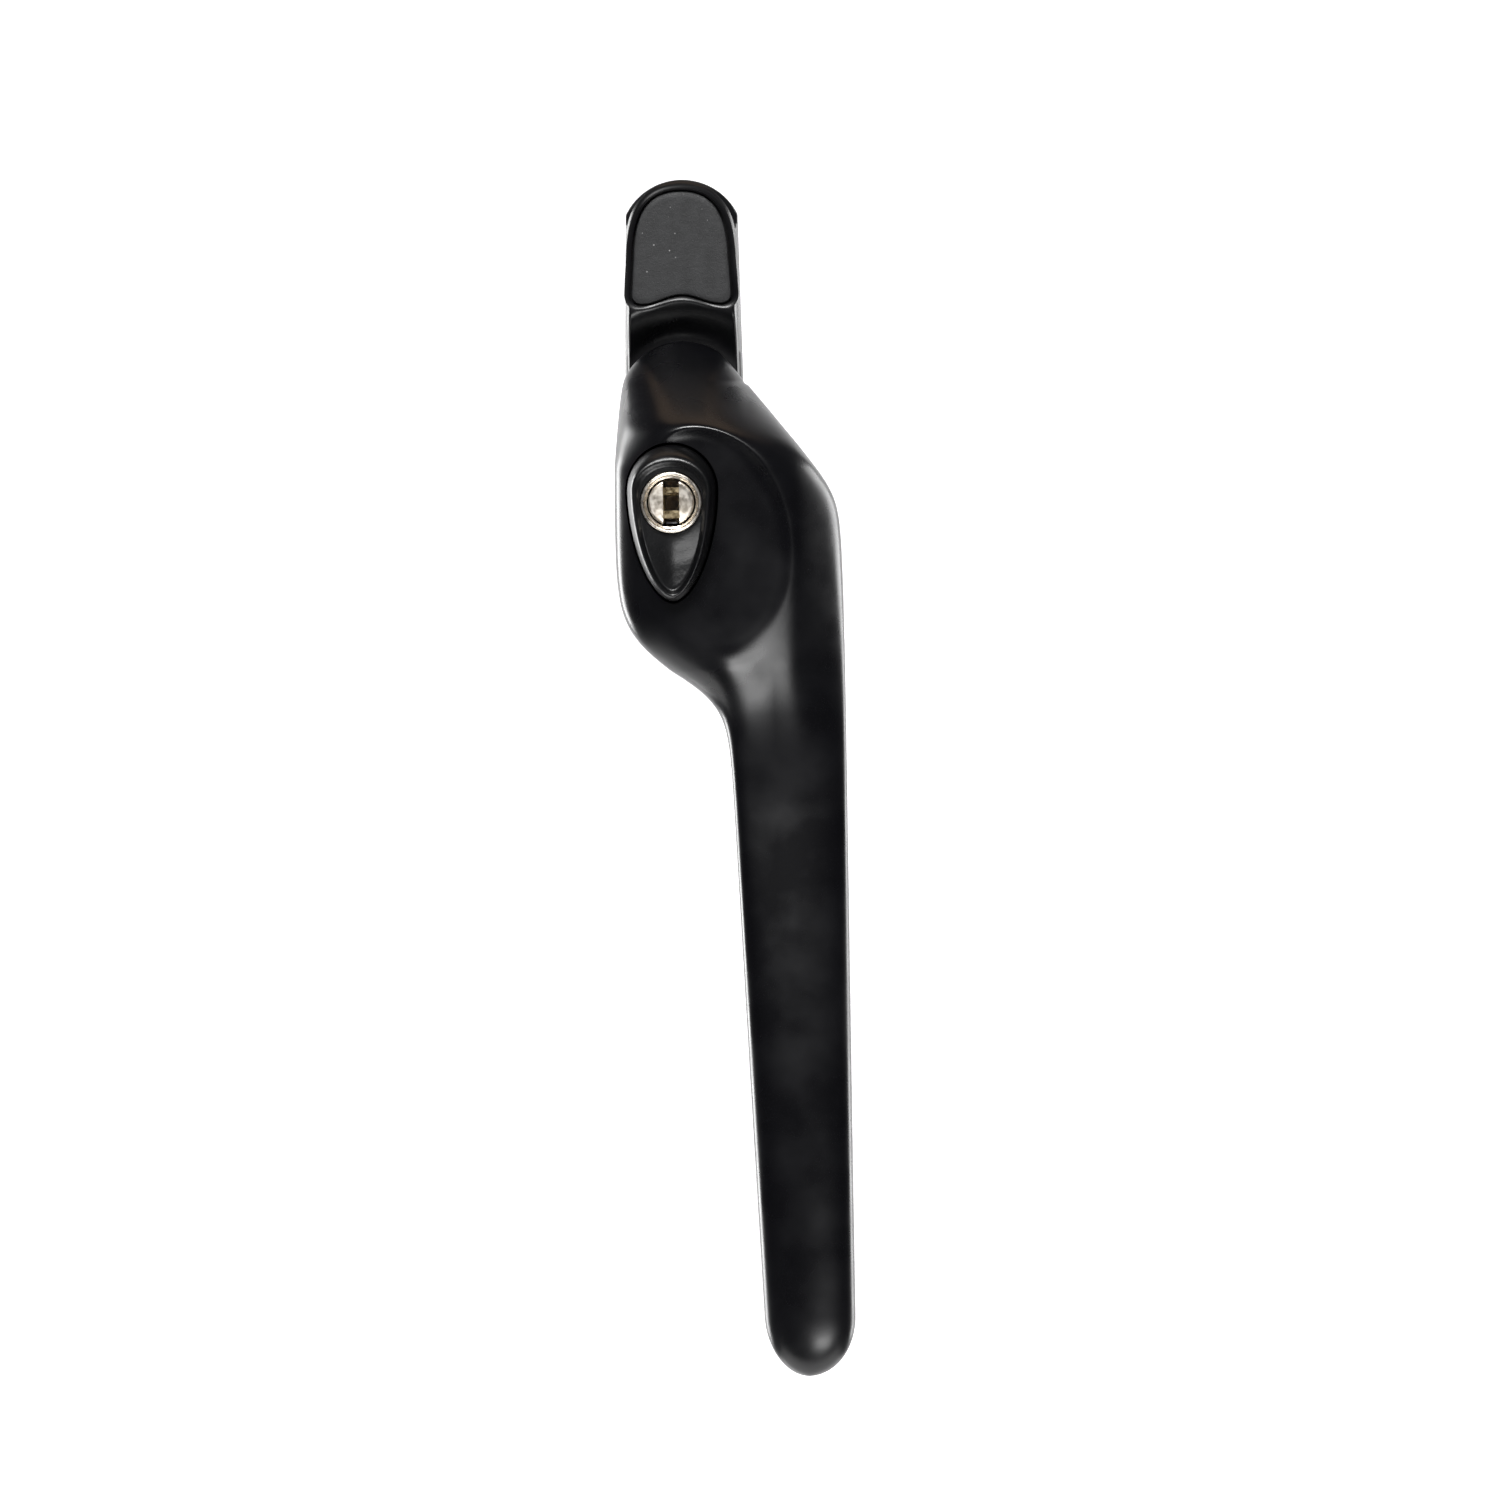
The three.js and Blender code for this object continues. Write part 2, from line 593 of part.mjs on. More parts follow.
const PIECES = [
  ['base_plate', basePlate(), BLACK_COAT],
  ['screw_cap', screwCap(), CAP_PLASTIC],
  ['fixing_screw_upper', fixingScrew(FIX_CENTRES / 2), ZINC],
  ['fixing_screw_lower', fixingScrew(-FIX_CENTRES / 2), ZINC],
  ['hub_bush', hubBush(), NYLON],
  ['detent_spring_left', leafSpring(-1), SPRING_STEEL],
  ['detent_spring_right', leafSpring(1), SPRING_STEEL],
  ['back_plate', backPlate(), ZINC],
  ['back_plate_rivet_upper', plateRivet(7.6), ZINC],
  ['back_plate_rivet_lower', plateRivet(-7.6), ZINC],
  ['lever', lever(), BLACK_COAT],
  ['spindle', spindle(), ZINC],
  ['spindle_pin', crossRod(PIN_R, BOSS_R - SEAT, 0, PIN_HEIGHT), SPRING_STEEL],
  ['index_cam', indexCam(), ZINC],
  ['hub_washer', hubWasher(), ZINC],
  ['lock_button', lockButton(), BUTTON_COAT],
  ['lock_barrel', barrel(), NICKEL],
  ['button_spring', returnSpring(), SPRING_STEEL],
  ['lock_bolt', lockBolt(), ZINC],
  ['latch_tongue', latchTongue(), BRASS],
  ['key_plug', plug(), NICKEL],
  ['wafer_spring', waferSpring(), SPRING_STEEL],
  ...WAFER_LIFTS.map((_, i) => [`wafer_${i + 1}`, wafer(i), BRASS]),
];

const GROUPS = {
  base: ['base_plate', 'screw_cap', 'fixing_screw_upper', 'fixing_screw_lower', 'hub_bush',
    'detent_spring_left', 'detent_spring_right', 'back_plate', 'back_plate_rivet_upper',
    'back_plate_rivet_lower'],
  handle: ['lever', 'spindle', 'spindle_pin', 'index_cam', 'hub_washer'],
};

const assembly = new THREE.Group();
assembly.name = 'locking_window_handle';
const groups = {};
for (const name of ['base', 'handle', 'lock']) {
  groups[name] = new THREE.Group();
  groups[name].name = `${name}_group`;
  assembly.add(groups[name]);
}
for (const [name, manifold, look] of PIECES) {
  const g = surface(manifold);
  g.rotateX(Math.PI / 2);
  g.computeVertexNormals();
  const mesh = new THREE.Mesh(g, new THREE.MeshStandardMaterial(look));
  mesh.name = name;
  const home = Object.keys(GROUPS).find((key) => GROUPS[key].includes(name)) || 'lock';
  groups[home].add(mesh);
}

export default assembly;
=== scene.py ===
# %% [markdown]
# # A locking window handle
# The real object is a die-cast zinc handle, powder coated black. A slim base plate is screwed
# to the window frame, a cranked lever turns on it, and a keyed push button in the lever's
# head locks the two together. This notebook gives the pieces of the engineering model a finer
# skin and their finishes, one by one. The lever's skin departs from the engineering shape, on
# its front by up to about 2.4 mm, so that its faces catch the light as cast metal does. Blender
# works in metres, with +Z up and the room on the -Y side, and our own sizes are in millimetres.

# %% Load the engineering model
import math
import bmesh
import bpy
import numpy as np
from mathutils import Matrix, Vector


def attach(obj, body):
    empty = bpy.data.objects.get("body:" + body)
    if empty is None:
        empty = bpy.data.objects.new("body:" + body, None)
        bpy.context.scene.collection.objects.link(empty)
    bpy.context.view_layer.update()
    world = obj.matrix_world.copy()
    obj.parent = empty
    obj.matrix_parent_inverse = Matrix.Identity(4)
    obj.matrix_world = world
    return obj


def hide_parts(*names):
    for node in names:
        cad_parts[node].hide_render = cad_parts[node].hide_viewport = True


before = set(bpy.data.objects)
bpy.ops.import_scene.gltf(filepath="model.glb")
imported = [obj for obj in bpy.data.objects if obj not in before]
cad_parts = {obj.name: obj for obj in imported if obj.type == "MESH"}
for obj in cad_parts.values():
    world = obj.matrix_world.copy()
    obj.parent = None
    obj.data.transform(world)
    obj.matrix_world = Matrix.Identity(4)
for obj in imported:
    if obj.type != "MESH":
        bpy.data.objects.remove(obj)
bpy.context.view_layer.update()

# %% [markdown]
# ## The way we look at it
# We look at the handle from the front with a long lens, so its sides stay nearly parallel: a
# camera far away with a narrow view. The view is a touch from the right, which
# shows the right wall of the base plate as a pale line, and the handle leans a little.

# %% Camera
MM = 0.001
VIEW_CENTRE = Vector((8.13, 0, -46.74)) * MM
VIEW_WIDTH = 204.4 * MM
VIEW_DISTANCE = 1.7
VIEW_FROM_RIGHT = math.radians(1.2)
VIEW_LEAN = math.radians(0.9)

camera = bpy.data.objects.new("camera", bpy.data.cameras.new("camera"))
bpy.context.scene.collection.objects.link(camera)
camera.data.sensor_width = 36
camera.data.lens = 36 * VIEW_DISTANCE / VIEW_WIDTH
camera.data.clip_end = 20
spot = Vector((math.sin(VIEW_FROM_RIGHT), -math.cos(VIEW_FROM_RIGHT), 0)) * VIEW_DISTANCE
turn = Matrix.Rotation(VIEW_FROM_RIGHT, 4, "Z") @ Matrix.Rotation(math.pi / 2, 4, "X")
camera.matrix_world = Matrix.Translation(VIEW_CENTRE + spot) @ turn @ Matrix.Rotation(-VIEW_LEAN, 4, "Z")
bpy.context.scene.camera = camera
print("camera stands", round(VIEW_DISTANCE, 2), "m away, lens", round(camera.data.lens), "mm")

# %% [markdown]
# ## Skins made of rings
# Most of these castings are best described by closed outlines that change as they rise: a wall,
# a rounded edge, a step, a recess. So one helper starts from a circle of points, moves it onto
# the first outline, and extrudes it to the next outline again and again. Each outline has the
# same number of points, so the walls come out as clean quads.

# %% Ring helper
def rise(outline, height):
    """A ring in the front view, as x, up and height above the mounting face, in millimetres."""
    heights = np.broadcast_to(np.asarray(height, float), (len(outline),))
    return np.column_stack([outline, heights])


def to_row(points):
    """Front-view millimetres to the row frame in metres."""
    return np.column_stack([points[:, 0], -points[:, 2], points[:, 1]]) * MM


def finish_mesh(bm, name, sharp=35):
    """Merges doubles, points the faces outwards and makes the object."""
    bmesh.ops.remove_doubles(bm, verts=bm.verts, dist=1e-7)
    bmesh.ops.recalc_face_normals(bm, faces=bm.faces)
    mesh = bpy.data.meshes.new(name)
    bm.to_mesh(mesh)
    bm.free()
    mesh.polygons.foreach_set("use_smooth", [True] * len(mesh.polygons))
    mesh.set_sharp_from_angle(angle=math.radians(sharp))
    piece = bpy.data.objects.new(name, mesh)
    bpy.context.scene.collection.objects.link(piece)
    return piece


def ring_skin(name, rings, ends=True, sharp=35):
    """A skin through rings of equal length; ends closes it with caps, else it joins on itself."""
    bm = bmesh.new()
    count = len(rings[0])
    bmesh.ops.create_circle(bm, segments=count, radius=1)
    bm.verts.ensure_lookup_table()
    loop = sorted(bm.verts, key=lambda v: math.atan2(v.co.y, v.co.x) % (2 * math.pi))
    edges = list(bm.edges)
    first = list(edges)
    for v, p in zip(loop, to_row(rings[0])):
        v.co = p
    for ring in rings[1:]:
        made = bmesh.ops.extrude_edge_only(bm, edges=edges)["geom"]
        new = {g for g in made if isinstance(g, bmesh.types.BMVert)}
        above = {e.other_vert(v): v for v in new for e in v.link_edges
                 if e.other_vert(v) not in new}
        loop = [above[v] for v in loop]
        for v, p in zip(loop, to_row(ring)):
            v.co = p
        edges = [g for g in made if isinstance(g, bmesh.types.BMEdge)
                 and g.verts[0] in new and g.verts[1] in new]
    if ends:
        bmesh.ops.edgeloop_fill(bm, edges=first)
        bmesh.ops.edgeloop_fill(bm, edges=edges)
    else:
        bmesh.ops.bridge_loops(bm, edges=first + edges)
    return finish_mesh(bm, name, sharp)


print("ring helpers ready")

# %% [markdown]
# Round pieces are quicker to turn than to stack: a profile of points is spun about its axis, as
# on a lathe. Holes and slots are cut with throwaway solids, as a mill does.

# %% Turning and cutting helpers
def turned(name, profile, centre=(0, 0), steps=96, sharp=35):
    """A lathe-turned piece: profile is (radius, height) pairs, turned about a line out of the window."""
    bm = bmesh.new()
    before = None
    for radius, height in profile:
        v = bm.verts.new(Vector((centre[0] + radius, -height, centre[1])) * MM)
        if before:
            bm.edges.new((before, v))
        before = v
    middle = Vector((centre[0], 0, centre[1])) * MM
    bmesh.ops.spin(bm, geom=bm.verts[:] + bm.edges[:], cent=middle, axis=(0, 1, 0),
                   angle=2 * math.pi, steps=steps, use_merge=True)
    return finish_mesh(bm, name, sharp)


def carve(piece, *tools):
    """Cuts the tools out of the piece and throws them away."""
    for tool in tools:
        cut = piece.modifiers.new("cut", "BOOLEAN")
        cut.operation = "DIFFERENCE"
        cut.solver = "EXACT"
        cut.object = tool
        graph = bpy.context.evaluated_depsgraph_get()
        mesh = bpy.data.meshes.new_from_object(piece.evaluated_get(graph))
        piece.modifiers.clear()
        piece.data = mesh
        bpy.data.objects.remove(tool)
    return piece


def keep_sharp(piece, angle):
    piece.data.set_sharp_from_angle(angle=math.radians(angle))
    return piece


print("turning and cutting helpers ready")

# %% [markdown]
# ## Finishes
# The lever and plate wear a satin powder coat. Under a lamp it shows a very fine orange peel,
# and slow patches of it are a little smoother. The bump is far finer than any shape, so it only
# breaks the highlights up. Each finish reads Object coordinates, which stay with the
# piece when it turns.

# %% Finish helper
def finish(name, colour, rough, metallic=0.0):
    """A new material with its shader's own values set, and handles to its nodes."""
    made = bpy.data.materials.new(name)
    made.use_nodes = True
    nodes, links = made.node_tree.nodes, made.node_tree.links
    shader = nodes["Principled BSDF"]
    shader.inputs["Base Color"].default_value = (*colour, 1)
    shader.inputs["Roughness"].default_value = rough
    shader.inputs["Metallic"].default_value = metallic
    where = nodes.new("ShaderNodeTexCoord")
    return made, nodes, links, shader, where


def grain(nodes, links, where, size, detail=2.0, stretch=(1, 1, 1)):
    """Noise whose features are about size millimetres across."""
    placed = nodes.new("ShaderNodeMapping")
    placed.inputs["Scale"].default_value = stretch
    links.new(where.outputs["Object"], placed.inputs["Vector"])
    noise = nodes.new("ShaderNodeTexNoise")
    noise.inputs["Scale"].default_value = 1 / (size * MM)
    noise.inputs["Detail"].default_value = detail
    links.new(placed.outputs["Vector"], noise.inputs["Vector"])
    return noise.outputs["Fac"]


def between(nodes, links, fac, low, high, floor=0.35, ceiling=0.65):
    """Maps a noise onto a range of values."""
    span = nodes.new("ShaderNodeMapRange")
    for key, value in (("From Min", floor), ("From Max", ceiling), ("To Min", low), ("To Max", high)):
        span.inputs[key].default_value = value
    links.new(fac, span.inputs["Value"])
    return span.outputs["Result"]


def blend_colour(nodes, links, fac, dark, light, floor=0.35, ceiling=0.65):
    ramp = nodes.new("ShaderNodeValToRGB")
    ramp.color_ramp.elements[0].position = floor
    ramp.color_ramp.elements[0].color = (*dark, 1)
    ramp.color_ramp.elements[1].position = ceiling
    ramp.color_ramp.elements[1].color = (*light, 1)
    links.new(fac, ramp.inputs["Fac"])
    return ramp.outputs["Color"]


def bumped(nodes, links, shader, *layers):
    """Stacks bump layers, each a height and its depth in millimetres."""
    before = None
    for height, depth in layers:
        bump = nodes.new("ShaderNodeBump")
        bump.inputs["Strength"].default_value = 1
        bump.inputs["Distance"].default_value = depth * MM
        links.new(height, bump.inputs["Height"])
        if before:
            links.new(before.outputs["Normal"], bump.inputs["Normal"])
        before = bump
    links.new(before.outputs["Normal"], shader.inputs["Normal"])


print("finish helpers ready")

# %% [markdown]
# The three black castings differ a little. The button is the grainiest, so its peel is coarser
# and deeper than that of the lever and plate.

# %% Black powder coat
def black_coat(name, colour, rough, peel, depth):
    made, nodes, links, shader, where = finish(name, colour, rough)
    fine = grain(nodes, links, where, peel, 3)
    wide = grain(nodes, links, where, 9, 3)
    links.new(between(nodes, links, wide, rough - 0.05, rough + 0.06), shader.inputs["Roughness"])
    tone = blend_colour(nodes, links, wide, colour, [c * 1.5 for c in colour])
    links.new(tone, shader.inputs["Base Color"])
    bumped(nodes, links, shader, (fine, depth), (grain(nodes, links, where, 0.9, 2), depth * 1.2))
    shader.inputs["Specular IOR Level"].default_value = 0.45
    return made


LEVER_COAT = black_coat("lever_coat", (0.0016, 0.0016, 0.0022), 0.29, 0.22, 0.002)
PLATE_COAT = black_coat("plate_coat", (0.0026, 0.0026, 0.0030), 0.32, 0.22, 0.002)
BUTTON_COAT = black_coat("button_coat", (0.0028, 0.0029, 0.0032), 0.32, 0.4, 0.02)
print("three black coats")

# %% [markdown]
# The cap over the screw is moulded plastic with an eroded, matte texture. Tiny pits and grains
# catch the light, and a few brighter specks of dust sit in them.

# %% Grained cap plastic
def cap_plastic():
    made, nodes, links, shader, where = finish("cap_plastic", (0.03, 0.031, 0.033), 0.62)
    pits = grain(nodes, links, where, 0.16, 4)
    cloud = grain(nodes, links, where, 1.6, 4)
    tone = blend_colour(nodes, links, cloud, (0.010, 0.0102, 0.0108), (0.019, 0.0194, 0.0204), 0.3, 0.7)
    specks = nodes.new("ShaderNodeTexVoronoi")
    specks.inputs["Scale"].default_value = 1 / (1.5 * MM)
    links.new(where.outputs["Object"], specks.inputs["Vector"])
    dust = between(nodes, links, specks.outputs["Distance"], 1, 0, 0.02, 0.09)
    mix = nodes.new("ShaderNodeMix")
    mix.data_type = "RGBA"
    links.new(dust, mix.inputs["Factor"])
    links.new(tone, mix.inputs["A"])
    mix.inputs["B"].default_value = (0.30, 0.30, 0.30, 1)
    links.new(mix.outputs["Result"], shader.inputs["Base Color"])
    links.new(between(nodes, links, pits, 0.5, 0.75), shader.inputs["Roughness"])
    bumped(nodes, links, shader, (pits, 0.05), (grain(nodes, links, where, 0.45, 2), 0.05))
    return made


CAP_PLASTIC = cap_plastic()
print(CAP_PLASTIC.name, "ready")

# %% [markdown]
# Metals differ by how their surface was left. Nickel plate on the cylinder is bright and a
# little warm, with fine turning lines. The wafers are stamped brass. Screws and spindle are
# zinc plated, with a faint bluish mottling. Springs and clips are dark oiled steel.

# %% Metals
def metal(name, dark, light, rough, spread, cloud, scratch, depth):
    made, nodes, links, shader, where = finish(name, light, rough, 1.0)
    mottle = grain(nodes, links, where, cloud, 4)
    lines = grain(nodes, links, where, scratch, 3, (1, 1, 0.12))
    links.new(blend_colour(nodes, links, mottle, dark, light), shader.inputs["Base Color"])
    links.new(between(nodes, links, mottle, rough - spread, rough + spread), shader.inputs["Roughness"])
    bumped(nodes, links, shader, (lines, depth))
    return made


NICKEL = metal("bright_nickel", (0.74, 0.67, 0.57), (0.92, 0.86, 0.77), 0.30, 0.06, 0.8, 0.12, 0.006)
BRASS = metal("stamped_brass", (0.44, 0.33, 0.17), (0.70, 0.58, 0.37), 0.34, 0.08, 0.6, 0.15, 0.01)
ZINC = metal("zinc_plate", (0.30, 0.31, 0.33), (0.38, 0.39, 0.41), 0.36, 0.06, 0.7, 0.3, 0.006)
STEEL = metal("spring_steel", (0.16, 0.16, 0.17), (0.26, 0.26, 0.27), 0.36, 0.08, 0.9, 0.3, 0.005)
print("nickel, brass, zinc and steel ready")

# %% [markdown]
# The end of the plug shows the rings of the lathe. A wave texture draws rings about the origin,
# so a Mapping node moves them onto the axis of the lock.

# %% Turned nickel and bush plastic
LOCK = (-1.3, -13.44)


def turned_face(name):
    """Nickel with the fine rings a lathe leaves, centred on the lock."""
    made, nodes, links, shader, where = finish(name, (0.84, 0.77, 0.67), 0.4, 1.0)
    centred = nodes.new("ShaderNodeMapping")
    centred.inputs["Location"].default_value = (-LOCK[0] * MM, 0, -LOCK[1] * MM)
    links.new(where.outputs["Object"], centred.inputs["Vector"])
    rings = nodes.new("ShaderNodeTexWave")
    rings.wave_type, rings.rings_direction = "RINGS", "Y"
    rings.inputs["Scale"].default_value = 1 / (2.6 * MM)
    rings.inputs["Distortion"].default_value = 0.6
    links.new(centred.outputs["Vector"], rings.inputs["Vector"])
    wear = grain(nodes, links, where, 0.7, 4)
    tone = blend_colour(nodes, links, wear, (0.66, 0.59, 0.49), (0.92, 0.86, 0.77))
    links.new(tone, shader.inputs["Base Color"])
    links.new(between(nodes, links, wear, 0.34, 0.48), shader.inputs["Roughness"])
    bumped(nodes, links, shader, (rings.outputs["Fac"], 0.012), (grain(nodes, links, where, 0.25), 0.008))
    return made


PLUG_FACE = turned_face("turned_nickel")
BUSH = black_coat("bush_plastic", (0.012, 0.012, 0.013), 0.5, 0.3, 0.004)
print("turned nickel and bush plastic ready")

# %% [markdown]
# Every new piece then gets its finish and the moving body it rides on, and the engineering
# nodes that it stands for are hidden.

# %% Dressing helper
def dress(piece, body, look, slot, *nodes):
    """Gives a piece its finish and its body, and hides the engineering nodes that it stands for."""
    piece.data.materials.clear()
    piece.data.materials.append(look)
    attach(piece, body)
    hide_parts(*nodes)
    print(piece.name, len(piece.data.polygons), "faces, stands for", ", ".join(nodes))
    return piece


print("dressing helper ready")

# %% [markdown]
# ## Smooth steps
# A few small functions shape everything below. ease runs from 0 to 1 with soft ends, and
# soft_min joins two surfaces with a small round between them, as a foundry pattern has.

# %% Blending functions
def ease(v):
    v = np.clip(v, 0, 1)
    return v * v * (3 - 2 * v)


def soft_min(a, b, k):
    return (a + b - np.hypot(a - b, k)) / 2


print("halfway along, ease gives", ease(0.5))

# %% [markdown]
# ## The lever
# The lever is one casting. Its low round nose turns on the plate, the neck climbs steeply to the
# head, and the grip hangs offset to the right so that the hand clears the window. It could be
# sculpted, but a stack of sections along its length keeps every curve fair, and the same
# formulas can be read as drawing rules: a left edge, a right edge, a front and a back.

# %% Lever outline
HUB_R = 8.87
NECK_LEFT = 9.28
GRIP_RIGHT = 21.35
GRIP_TIP_X = 15.3
GRIP_END, GRIP_END_ROUND = -123.1, 8.0
GRIP_LEFT, GRIP_LEFT_AT, GRIP_TAPER = 6.0, -48.0, 0.0446


def nose_half(y):
    return math.sqrt(max(0.0, HUB_R ** 2 - y * y))


def tip_factor(y):
    t = min(max((GRIP_END - y) / GRIP_END_ROUND, 0), 1)
    return math.sqrt(1 - t * t)


def left_edge(y):
    grip = GRIP_LEFT + (GRIP_LEFT_AT - y) * GRIP_TAPER
    neck = 0.8 * math.exp((y - 1.2) / 6) - NECK_LEFT
    blend = 1 / (1 + math.exp((y + 36) / (3 if y > -36 else 2.45)))
    x = neck * (1 - blend) + grip * blend
    return -soft_min(-x, nose_half(y), 0.15) if y > 3 else x


def right_edge(y):
    x = soft_min(9.6 + 0.83 * (2.03 - y), GRIP_RIGHT + 0.25, 2.9)
    return soft_min(x, nose_half(y), 0.15) if y > 3 else x


def edges_at(y):
    f = tip_factor(y)
    return [GRIP_TIP_X + (e - GRIP_TIP_X) * f for e in (left_edge(y), right_edge(y))]


print("lever is", round(right_edge(-60) - left_edge(-60), 1), "mm wide at the top of the grip")

# %% [markdown]
# The front surface is a steep ramp from the nose joined softly to the head, which then falls away
# to the lower grip. A crease marks where the head's right flank begins and fades out on the grip,
# and the front dips a little under the facet, like a chin. The
# oval facet is pressed into the head like a shallow dish: flat inside, with a small hollow
# round at its rim, and open where the head already lies below it.

# %% Lever heights
NOSE_EDGE, RAMP_SLOPE = 7.5, 1.7
HEAD_TOP, GRIP_TOP, GRIP_BOW = 28.9, 23.0, 2.6
LEVER_UNDER, GRIP_UNDER = 6.6, 14.0
NOSE_CROWN, HEAD_CROWN, CROWN_X = 0.014, 0.016, 5.5
FALL_FROM, FALL_LENGTH = -14, 35
BOW_FROM, BOW_LENGTH = -54, 95
BACK_FROM, BACK_LENGTH = -27, 22
CREASE_X, CREASE_FROM, FLANK_SLOPE = 15.6, -30, 0.5
CHIN_DEPTH, RAMP_ROUND, FACET_EDGE = 1.5, 2.2, 0.6
FACET = {"x": 3.26, "y": -19.0, "long": 16.66, "short": 12.25, "lean": 0.22,
         "level": 25.8, "tilt": 0.04, "fillet": 3.0}


def front_height(x, y):
    inward = HUB_R - y - NOSE_CROWN * x * x
    ramp = NOSE_EDGE + RAMP_SLOPE * inward
    fall = ease((FALL_FROM - y) / FALL_LENGTH)
    bow = GRIP_BOW * math.sin(math.pi * min(max((BOW_FROM - y) / BOW_LENGTH, 0), 1))
    head = HEAD_TOP + (GRIP_TOP - HEAD_TOP) * fall + bow
    crown = HEAD_CROWN * (x - CROWN_X) ** 2 * (1 - fall)
    step = x - CREASE_X + fall
    softness = 0.9 + 2.6 * ease((CREASE_FROM - y) / 24)
    beyond = (step + np.hypot(step, softness)) / 2 * FLANK_SLOPE * (1 - ease((CREASE_FROM - y) / 28))
    chin = CHIN_DEPTH * ease((-22 - y) / 20) * ease((x - 4) / 8) * (1 - ease((-46 - y) / 50))
    return soft_min(ramp, head - crown - beyond - chin, RAMP_ROUND)


def facet_height(x, y):
    c, s = math.cos(FACET["lean"]), math.sin(FACET["lean"])
    u = (x - FACET["x"]) * c + (y - FACET["y"]) * s
    v = (y - FACET["y"]) * c - (x - FACET["x"]) * s
    reach = np.hypot(u, v) + 1e-9
    inside = reach / np.hypot(u / FACET["short"], v / FACET["long"]) - reach
    r = FACET["fillet"]
    arc = r - np.sqrt(np.maximum(0, r * r - np.clip(r - inside, 0, r) ** 2))
    plane = FACET["level"] + FACET["tilt"] * (y - FACET["y"])
    return plane + arc + 9 * np.maximum(0, -inside)


def back_height(x, y):
    below = min(0, max(-8.5, y)) * ease((y + 15) / 6)
    lift = 0.95 * np.maximum(0, np.hypot(np.maximum(0, x), below) - HUB_R)
    rise_up = ease((BACK_FROM - y) / BACK_LENGTH)
    bow = 0.8 * GRIP_BOW * math.sin(math.pi * min(max((BOW_FROM - y) / BOW_LENGTH, 0), 1))
    low = LEVER_UNDER + soft_min(lift, GRIP_UNDER - LEVER_UNDER, 1.0)
    return low + (GRIP_UNDER + bow - low) * rise_up


print("head front is", HEAD_TOP, "mm off the window, grip front", GRIP_TOP)

# %% [markdown]
# A section starts as an ellipse between the edges and is squared up by a power. The head is
# squarer than the grip, and its waist sits lower. More sections are spent on the head.

# %% Lever sections
SECTION_TOP, SECTION_BACK = 170, 50


def section(y):
    top = np.linspace(0, math.pi, SECTION_TOP, endpoint=False)
    back = np.linspace(math.pi, 2 * math.pi, SECTION_BACK, endpoint=False)
    angle = np.concatenate([top, back])
    left, right = edges_at(y)
    c, s = np.cos(angle), np.sin(angle)
    across = (c + 1) / 2
    x = left + (right - left) * across
    grip = ease((BACK_FROM - y) / BACK_LENGTH)
    under = back_height(x, y)
    front = np.maximum(front_height(x, y), under + 0.9)
    share = 0.12 + 0.38 * grip + 0.2 * across * (1 - grip) * ease((4 - y) / 8)
    waist = under + (front - under) * share
    head_side = 0.15 + 0.5 * ease((y + 9) / 9) + across * 0.3
    front_power = head_side * (1 - grip) + 0.55 * grip
    back_power = 0.14 + 0.5 * grip
    high = waist + (front - waist) * np.abs(s) ** front_power
    low = waist - (waist - under) * np.abs(s) ** back_power
    middle = (front + under) / 2
    height = middle + (np.where(s >= 0, high, low) - middle) * (0.35 + 0.65 * tip_factor(y))
    faceted = soft_min(height, facet_height(x, y), FACET_EDGE)
    height = np.where((s > 0) & (y > -44), faceted, height)
    return np.column_stack([x, np.full_like(x, y), height])


def section_stations():
    nose = HUB_R * np.cos(np.linspace(0.03, math.pi / 2, 36))
    head = np.arange(-0.25, -48, -0.25)
    grip = np.arange(-48.5, GRIP_END, -1.2)
    tip = GRIP_END - GRIP_END_ROUND * np.sin(np.linspace(0, 0.985 * math.pi / 2, 26))
    return np.concatenate([nose, head, grip, tip])


stations = section_stations()
lever = ring_skin("lever_casting", [section(float(y)) for y in stations], sharp=60)
print("lever skin from", len(stations), "sections")

# %% [markdown]
# ## The teardrop pocket
# The lock button slides in a pocket of its own outline with a thin gap all round. The outline is
# a half ellipse above and a slightly more pointed half below, so one formula does both.

# %% Teardrop outline
BUTTON_COUNT = 160
TEARDROP_X = -1.32


def teardrop(centre_y, half, head, tail):
    a = np.linspace(0, 2 * math.pi, BUTTON_COUNT, endpoint=False)
    low = np.sin(a) < 0
    power = np.where(low, 1 / 0.9, 1)
    x = half * np.sign(np.cos(a)) * np.abs(np.cos(a)) ** power
    y = np.where(low, -tail, head) * np.abs(np.sin(a)) ** power
    return np.column_stack([TEARDROP_X + x, centre_y + y])


foot = teardrop(-11.8, 5.95, 6.15, 14.8)
pocket = teardrop(-11.8, 6.3, 6.5, 15.15)
pocket_tool = ring_skin("pocket_tool", [rise(pocket, 16.4), rise(pocket, 40)])
bore_tool = turned("bore_tool", [(0, 8.8), (4.35, 8.8), (4.35, 16.5), (0, 16.5)], LOCK, 48)
bolt_tool = turned("bolt_tool", [(0, 0), (2.25, 0), (2.25, 9), (0, 9)], LOCK, 32)
carve(lever, pocket_tool, bore_tool, bolt_tool)
keep_sharp(lever, 60)
dress(lever, "handle", LEVER_COAT, "black_coat", "lever")

# %% [markdown]
# A short round boss under the nose turns in the bush. It is a plain ring, so it is turned.

# %% Lever boss
boss = turned("lever_boss", [(4.9, 4.0), (5.5, 4.0), (5.7, 4.2), (5.7, 6.9), (4.9, 6.9), (4.9, 4.0)])
boss.data.materials.append(LEVER_COAT)
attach(boss, "handle")
print("boss has", len(boss.data.polygons), "faces")

